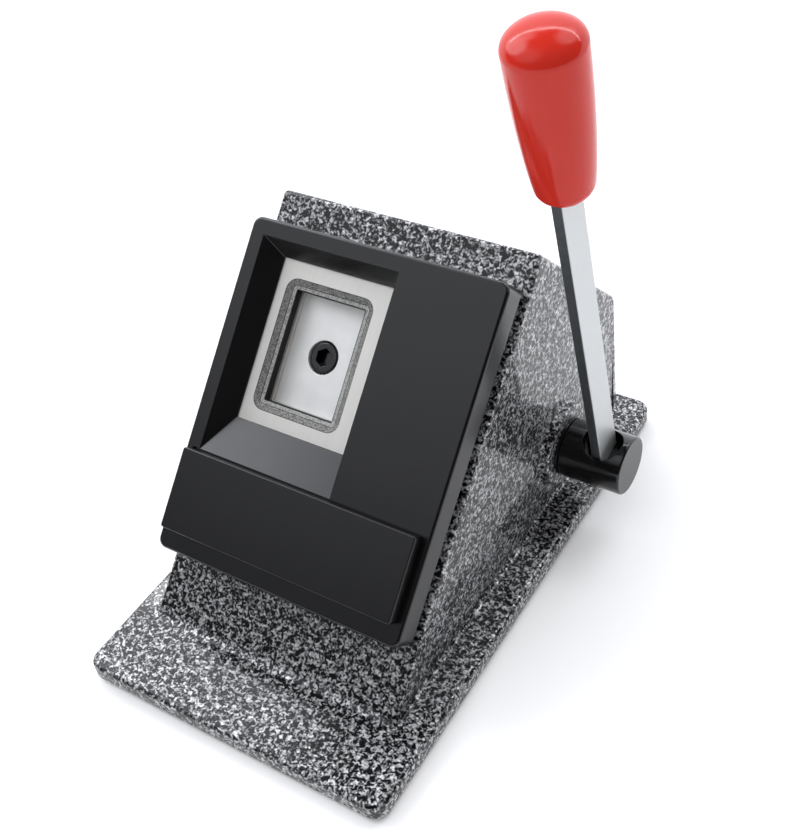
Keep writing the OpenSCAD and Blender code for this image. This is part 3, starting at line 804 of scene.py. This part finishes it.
# Screws and bottom plate
# Bought steel screws that hold the cover, the guide plate and the die, and a sheet steel plate
# screwed under the housing.
# Zinc plate: pale and bluish, lightly clouded.
bloom_pitch = 2 * mm
zinc, tree, place = new_finish("zinc_plate")
bloom = add_node(tree, "TexNoise", {"Vector": place, "Scale": 1 / bloom_pitch, "Detail": 2})
zinc_colour = add_node(
    tree, "MixRGB", {"Fac": bloom.outputs["Fac"], "Color1": colour("#b4b8bc"), "Color2": colour("#d3d7da")}
)
shade(tree, {"Base Color": zinc_colour.outputs["Color"], "Metallic": 1, "Roughness": 0.32})
dress(zinc, "cover_screws", "guide_plate_screws", "die_screws", "bottom_plate", "bottom_plate_screws")


# Mat
# A sheet of black rubber, cut a little smaller than the base and glued under its plate, so
# that the cutter doesn't slide.
# Moulded rubber: matt black with a fine leather grain.
grain_pitch = 1.0 * mm
rubber, tree, place = new_finish("moulded_rubber")
grain = add_node(tree, "TexVoronoi", {"Vector": place, "Scale": 1 / grain_pitch})
rubber_colour = add_node(
    tree,
    "MixRGB",
    {"Fac": grain.outputs["Distance"], "Color1": colour("#1b1b1c"), "Color2": colour("#2a2a2b")},
)
leather = add_node(
    tree, "Bump", {"Height": grain.outputs["Distance"], "Strength": 0.4, "Distance": 0.2 * mm}
)
shade(
    tree,
    {"Base Color": rubber_colour.outputs["Color"], "Roughness": 0.8, "Normal": leather.outputs["Normal"]},
)
dress(rubber, "base_mat")


# Die plate
# A plate of tool steel, ground bright. Its opening is the size of the photograph at the
# cutting edge and flares out to the front in a flat ledge and a steep rim, both left rough.
die_low, die_high = box_in("die_plate", on_slope)
photo_size = Vector((25 * mm, 35 * mm))
opening_mid = Vector((punch_mid.x, punch_mid.y))
# Each ring of the opening: height above the face, how far outside the cut, corner radius, and
# which finish of the flare reaches from it up to the next ring.
die_front = die_high.z
opening_rings = (
    # The land's finish is painted shade, near black up to 1.3 mm under the face.
    (die_low.z - past, 0, 0.2 * mm, "painted_shade_land"),
    (die_front - 1.4 * mm, 0, 0.2 * mm, "painted_shade_land"),
    (die_front - 1.3 * mm, 0.3 * mm, 0.45 * mm, "ledge"),
    (die_front - 1.1 * mm, 1.4 * mm, 1.2 * mm, "line"),
    (die_front - 1.0 * mm, 1.6 * mm, 1.5 * mm, "rim"),
    (die_front - 0.12 * mm, 3.3 * mm, 3.8 * mm, "line"),
    (die_front, 3.5 * mm, 4.0 * mm, "line"),
    (die_front + past, 3.5 * mm, 4.0 * mm, "line"),
)
corner_steps = 6
die = add_block("die_plate_ground", die_low, die_high)
ring_objects = []
for ring_height, outside, corner, _ in opening_rings:
    bpy.ops.object.select_all(action="DESELECT")
    bpy.ops.mesh.primitive_plane_add(
        size=1, location=(opening_mid.x, opening_mid.y, ring_height)
    )
    ring = bpy.context.active_object
    ring.scale = (photo_size.x + 2 * outside, photo_size.y + 2 * outside, 1)
    bpy.ops.object.transform_apply(location=True, rotation=True, scale=True)
    open_with(ring, "FACE", lambda face: True)
    bpy.ops.mesh.bevel(offset=corner, segments=corner_steps, affect="VERTICES", clamp_overlap=False)
    if 0 < len(ring_objects) < len(opening_rings) - 1:
        bpy.ops.mesh.select_all(action="SELECT")
        bpy.ops.mesh.delete(type="ONLY_FACE")
    bpy.ops.object.mode_set(mode="OBJECT")
    ring_objects.append(ring)
bpy.ops.object.select_all(action="DESELECT")
for ring in ring_objects:
    ring.select_set(True)
bpy.context.view_layer.objects.active = ring_objects[0]
bpy.ops.object.join()
opening = ring_objects[0]
for lower, upper in zip(opening_rings, opening_rings[1:]):
    heights = (lower[0], upper[0])
    open_with(
        opening, "EDGE", lambda edge: any(level_at(edge, 2, level) for level in heights)
    )
    bpy.ops.mesh.bridge_edge_loops()
    bpy.ops.object.mode_set(mode="OBJECT")
open_with(opening, "FACE", lambda face: True)
bpy.ops.mesh.normals_make_consistent(inside=False)
bpy.ops.object.mode_set(mode="OBJECT")

# Rough-milled flare: sparkling grit on a steep rim and on a flatter, paler ledge, with thin dark bands at
# the outer edge and between rim and ledge.
# The land below, the straight wall of the opening, is painted near black: painted shade for that wall lying
# in its own shadow.
# The grit is drawn coarser than the real one, so that it shows.
grit_pitch = 0.55 * mm
flare_tones = {
    # The land's tones are painted shade that stands in for the shadowed wall of the opening.
    "painted_shade_land": ("#0c0d0e", "#16171a"),
    "ledge": ("#727270", "#c2c2be"),
    "line": ("#2c2c2c", "#4a4a49"),
    "rim": ("#454544", "#a2a2a0"),
}
flare_finishes = []
for tone_name, (dark, light) in flare_tones.items():
    flare, tree, place = new_finish("milled_" + tone_name)
    grit = add_node(
        tree, "TexNoise", {"Vector": place, "Scale": 1 / grit_pitch, "Detail": 3, "Roughness": 0.7}
    )
    sparkle = add_node(
        tree, "MapRange", {"Value": grit.outputs["Fac"], "From Min": 0.35, "From Max": 0.68}
    )
    flare_colour = add_node(
        tree,
        "MixRGB",
        {"Fac": sparkle.outputs["Result"], "Color1": colour(dark), "Color2": colour(light)},
    )
    pits = add_node(
        tree, "Bump", {"Height": grit.outputs["Fac"], "Strength": 0.5, "Distance": 0.15 * mm}
    )
    shade(
        tree,
        {
            "Base Color": flare_colour.outputs["Color"],
            "Metallic": 0.2,
            "Roughness": 0.7,
            "Normal": pits.outputs["Normal"],
        },
    )
    flare_finishes.append(flare)
paint(die, ground, *flare_finishes)
paint(opening, ground, *flare_finishes)
tone_order = list(flare_tones)
for face in opening.data.polygons:
    # Each face starts with the land's painted shade and takes the finish of the highest ring under it.
    tone = "painted_shade_land"
    for ring_height, _, _, finish in opening_rings:
        if face.center.z > ring_height:
            tone = finish
    face.material_index = 1 + tone_order.index(tone)
carve(die, opening)
settle(die, on_slope)
smooth(die)
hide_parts("die_plate")
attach(die, "housing")


# Front cover
# A moulded black shell screwed to the sloping front from inside. Its window slopes down to
# the die plate on three sides, and a slot under its right wall lets the photograph in.
cover_low, cover_high = box_in("front_cover", on_slope)
cover_corner = 3.0 * mm
cover_edge = 1.0 * mm
cover_wall = 2.5 * mm
crisp_edge = 0.25 * mm
crisp_angle = math.radians(20)
bar_width = 5.2 * mm
window_right = 8.0 * mm
window_foot = 56.7 * mm
slope_left = 5.6 * mm
slope_top = 4.6 * mm
slope_bottom = 12.7 * mm
lip = 0.6 * mm
window_left = cover_low.x + bar_width
window_top = cover_high.y - bar_width
window_floor = die_front + lip
# The slopes run on past the front by the same share of their run as of their depth.
overrun = past / (cover_high.z - window_floor)
cover = add_block("front_cover_shell", cover_low, cover_high)
round_edges(cover, lambda edge: runs_along(edge, 2), cover_corner, steps=8)
round_edges(cover, lambda edge: level_at(edge, 2, cover_high.z), cover_edge)
window = add_block(
    "window",
    (window_left + slope_left, window_foot + slope_bottom, window_floor),
    (window_right, window_top - slope_top, cover_high.z + past),
)
tool_top = cover_high.z + past
for axis, side, run in (
    (0, window_left + slope_left, -slope_left),
    (1, window_top - slope_top, slope_top),
    (1, window_foot + slope_bottom, -slope_bottom),
):
    open_with(
        window,
        "EDGE",
        lambda edge: level_at(edge, 2, tool_top) and level_at(edge, axis, side),
    )
    shift = [0, 0, 0]
    shift[axis] = run * (1 + overrun)
    bpy.ops.transform.translate(value=shift)
    bpy.ops.object.mode_set(mode="OBJECT")
open_with(window, "FACE", lambda face: face.normal.z < -aligned)
bpy.ops.mesh.extrude_region_move(TRANSFORM_OT_translate={"value": (0, 0, -window_floor - past)})
bpy.ops.object.mode_set(mode="OBJECT")
carve(cover, window)


def in_window(edge):
    """True for the crisp edges of the window: its front outline and the valleys between its slopes."""
    ends = [vert.co for vert in edge.verts]
    inside = all(
        window_left - past < end.x < window_right + past
        and window_foot - past < end.y < window_top + past
        and end.z > window_floor - crisp_edge
        for end in ends
    )
    return inside and edge.calc_face_angle(0) > crisp_angle


round_edges(cover, in_window, crisp_edge, steps=2)

# Underneath: seat of the die plate, hollows beside and below it, entry for the photograph.
seat_room = 0.15 * mm
entry_high = 3.2 * mm
hollow_high = cover_high.z - cover_wall
for hollow_low, hollow_top in (
    (
        (die_low.x - seat_room, die_low.y - seat_room, -past),
        (die_high.x + seat_room, die_high.y + seat_room, die_front),
    ),
    (
        (window_right + cover_wall, cover_low.y + cover_wall, -past),
        (cover_high.x - cover_wall, cover_high.y - cover_wall, hollow_high),
    ),
    (
        (cover_low.x + cover_wall, cover_low.y + cover_wall, -past),
        (window_right + cover_wall + past, window_foot - cover_wall, hollow_high),
    ),
    (
        (window_right + cover_wall, cover_low.y + cover_wall, -past),
        (cover_high.x + past, cover_high.y - cover_wall, entry_high),
    ),
):
    carve(cover, add_block("hollow", hollow_low, hollow_top))
# A narrow groove in which the upper edge of the trim bar sits shows as a dark line.
trim_low, trim_high = box_in("trim_bar", on_slope)
trim_wall = 1.5 * mm
groove_above = 0.45 * mm
groove_deep = 1.2 * mm
groove = add_block(
    "groove",
    (trim_low.x, trim_high.y - trim_wall, cover_high.z - groove_deep),
    (trim_high.x, trim_high.y + groove_above, cover_high.z + past),
)
carve(cover, groove)
settle(cover, on_slope)
smooth(cover)

# Moulded ABS: black, glossy from a polished mould, with a very fine unevenness that
# breaks up its reflections.
mould_pitch = 6 * mm
spark_pitch = 0.45 * mm
plastic, tree, place = new_finish("moulded_black_plastic")
flow = add_node(tree, "TexNoise", {"Vector": place, "Scale": 1 / mould_pitch, "Detail": 2})
spark = add_node(tree, "TexNoise", {"Vector": place, "Scale": 1 / spark_pitch, "Detail": 2})
plastic_colour = add_node(
    tree, "MixRGB", {"Fac": spark.outputs["Fac"], "Color1": colour("#0a0a0b"), "Color2": colour("#0d0d0e")}
)
plastic_rough = add_node(tree, "MapRange", {"Value": flow.outputs["Fac"], "To Min": 0.2, "To Max": 0.27})
mould_skin = add_node(
    tree, "Bump", {"Height": spark.outputs["Fac"], "Strength": 0.02, "Distance": 0.1 * mm}
)
shade(
    tree,
    {
        "Base Color": plastic_colour.outputs["Color"],
        "Roughness": plastic_rough.outputs["Result"],
        "Normal": mould_skin.outputs["Normal"],
    },
)
paint(cover, plastic)
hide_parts("front_cover")
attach(cover, "housing")


# Trim bar
# A shallow hollow moulding of the same black plastic, pegged across the lower part of the
# cover, close under the window.
trim_corner = 0.8 * mm
trim_edge = 0.4 * mm
trim = add_block("trim_bar_moulding", trim_low, trim_high)
round_edges(trim, lambda edge: runs_along(edge, 2), trim_corner, steps=6)
round_edges(trim, lambda edge: level_at(edge, 2, trim_high.z), trim_edge, steps=3)
trim_hollow = add_block(
    "trim_hollow",
    (trim_low.x + trim_wall, trim_low.y + trim_wall, trim_low.z - past),
    (trim_high.x - trim_wall, trim_high.y - trim_wall, trim_high.z - trim_wall),
)
carve(trim, trim_hollow)
settle(trim, on_slope)
smooth(trim)
paint(trim, plastic)
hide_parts("trim_bar")
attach(trim, "housing")


# Lever bar
# A flat bar of cold-drawn steel set in the hub. Its broad faces are polished and plated;
# its narrow edges keep a darker skin.
bar_round = 0.35 * mm
edge_tilt = 0.3
bar = add_block("lever_flat_bar", bar_low, bar_high)
round_edges(bar, lambda edge: True, bar_round, steps=3)
settle(bar, along_lever)
smooth(bar)
# Bright nickel plate: nearly white, with faint polishing lines along the bar.
polish_pitch = 0.6 * mm
polish_stretch = 20
plated, tree, place = new_finish("nickel_plate")
polish_place = add_node(
    tree,
    "Mapping",
    {"Vector": place, "Rotation": (-lever_lean, 0, 0), "Scale": (1, 1, 1 / polish_stretch)},
    vector_type="TEXTURE",
)
polish = add_node(
    tree, "TexNoise", {"Vector": polish_place.outputs["Vector"], "Scale": 1 / polish_pitch, "Detail": 2}
)
plated_colour = add_node(
    tree, "MixRGB", {"Fac": polish.outputs["Fac"], "Color1": colour("#b9bcbc"), "Color2": colour("#cbcdcd")}
)
plated_rough = add_node(tree, "MapRange", {"Value": polish.outputs["Fac"], "To Min": 0.36, "To Max": 0.46})
shade(
    tree,
    {
        "Base Color": plated_colour.outputs["Color"],
        "Metallic": 0.4,
        "Roughness": plated_rough.outputs["Result"],
    },
)
# Drawn skin: dark grey and a little rough.
skin_pitch = 1.5 * mm
drawn, tree, place = new_finish("drawn_skin")
scale_spots = add_node(tree, "TexNoise", {"Vector": place, "Scale": 1 / skin_pitch, "Detail": 2})
drawn_colour = add_node(
    tree,
    "MixRGB",
    {"Fac": scale_spots.outputs["Fac"], "Color1": colour("#4c4e50"), "Color2": colour("#636668")},
)
shade(tree, {"Base Color": drawn_colour.outputs["Color"], "Metallic": 0.7, "Roughness": 0.35})
paint(bar, plated, drawn)
for face in bar.data.polygons:
    face.material_index = int(abs(face.normal.x) < edge_tilt)
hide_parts("lever_bar")
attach(bar, "lever")


# Grip
# Moulded red plastic pushed on the bar: it swells from a rounded neck to a broad top that
# ends in a shallow dome.
grip_low, grip_high = box_in("lever_grip", along_lever)
neck_radius = 8.1 * mm
neck_round = 4.2 * mm
end_radius = (grip_high.y - grip_low.y) / 2
dome_high = 5.2 * mm
dome_fullness = 2 / 2.2
dome_steps = 24
swell_power = 0.83
swell_steps = 20
round_steps = 8
grip_sides = 96
tip_radius = 0.1 * mm
shoulder = grip_high.z - dome_high
# The outline from the bottom up, as radius and height: neck round, swell, dome.
outline = []
for step in range(round_steps):
    turn = step / round_steps * math.pi / 2
    outline.append(
        (neck_radius - neck_round * (1 - math.sin(turn)), grip_low.z + neck_round * (1 - math.cos(turn)))
    )
for step in range(swell_steps + 1):
    share = step / swell_steps
    swell = math.sin(share ** swell_power * math.pi / 2)
    outline.append(
        (
            neck_radius + (end_radius - neck_radius) * swell,
            grip_low.z + neck_round + share * (shoulder - grip_low.z - neck_round),
        )
    )
for step in range(1, dome_steps):
    turn = step / dome_steps * math.pi / 2
    outline.append(
        (
            end_radius * math.cos(turn) ** dome_fullness,
            shoulder + dome_high * math.sin(turn) ** dome_fullness,
        )
    )
outline.append((tip_radius, grip_high.z))
bpy.ops.object.select_all(action="DESELECT")
first_radius, first_height = outline[0]
bpy.ops.mesh.primitive_circle_add(
    vertices=grip_sides, radius=first_radius, fill_type="NGON", location=(bar_x, 0, first_height)
)
grip = bpy.context.active_object
grip.name = "lever_grip_moulding"
bpy.ops.object.transform_apply(location=True, rotation=True, scale=True)
open_with(grip, "FACE", lambda face: True)
last_radius, last_height = first_radius, first_height
for radius, at_height in outline[1:]:
    bpy.ops.mesh.extrude_region_move(
        TRANSFORM_OT_translate={"value": (0, 0, at_height - last_height)}
    )
    growth = radius / last_radius
    bpy.ops.transform.resize(value=(growth, growth, 1), center_override=(bar_x, 0, at_height))
    last_radius, last_height = radius, at_height
bpy.ops.mesh.select_all(action="SELECT")
bpy.ops.mesh.normals_make_consistent(inside=False)
bpy.ops.object.mode_set(mode="OBJECT")
bar_hole = add_block(
    "bar_hole",
    (bar_low.x, bar_low.y, grip_low.z - past),
    (bar_high.x, bar_high.y, bar_high.z),
)
carve(grip, bar_hole)
settle(grip, along_lever)
smooth(grip)
# Moulded red plastic: glossy, warm red, very slightly clouded by handling.
handling_pitch = 9 * mm
red, tree, place = new_finish("moulded_red_plastic")
handling = add_node(tree, "TexNoise", {"Vector": place, "Scale": 1 / handling_pitch, "Detail": 3})
red_colour = add_node(
    tree,
    "MixRGB",
    {"Fac": handling.outputs["Fac"], "Color1": colour("#c0291d"), "Color2": colour("#ca2f23")},
)
red_rough = add_node(tree, "MapRange", {"Value": handling.outputs["Fac"], "To Min": 0.11, "To Max": 0.14})
shade(
    tree,
    {
        "Base Color": red_colour.outputs["Color"],
        "Roughness": red_rough.outputs["Result"],
        "Specular IOR Level": 0.25,
    },
)
paint(grip, red)
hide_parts("lever_grip")
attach(grip, "lever")
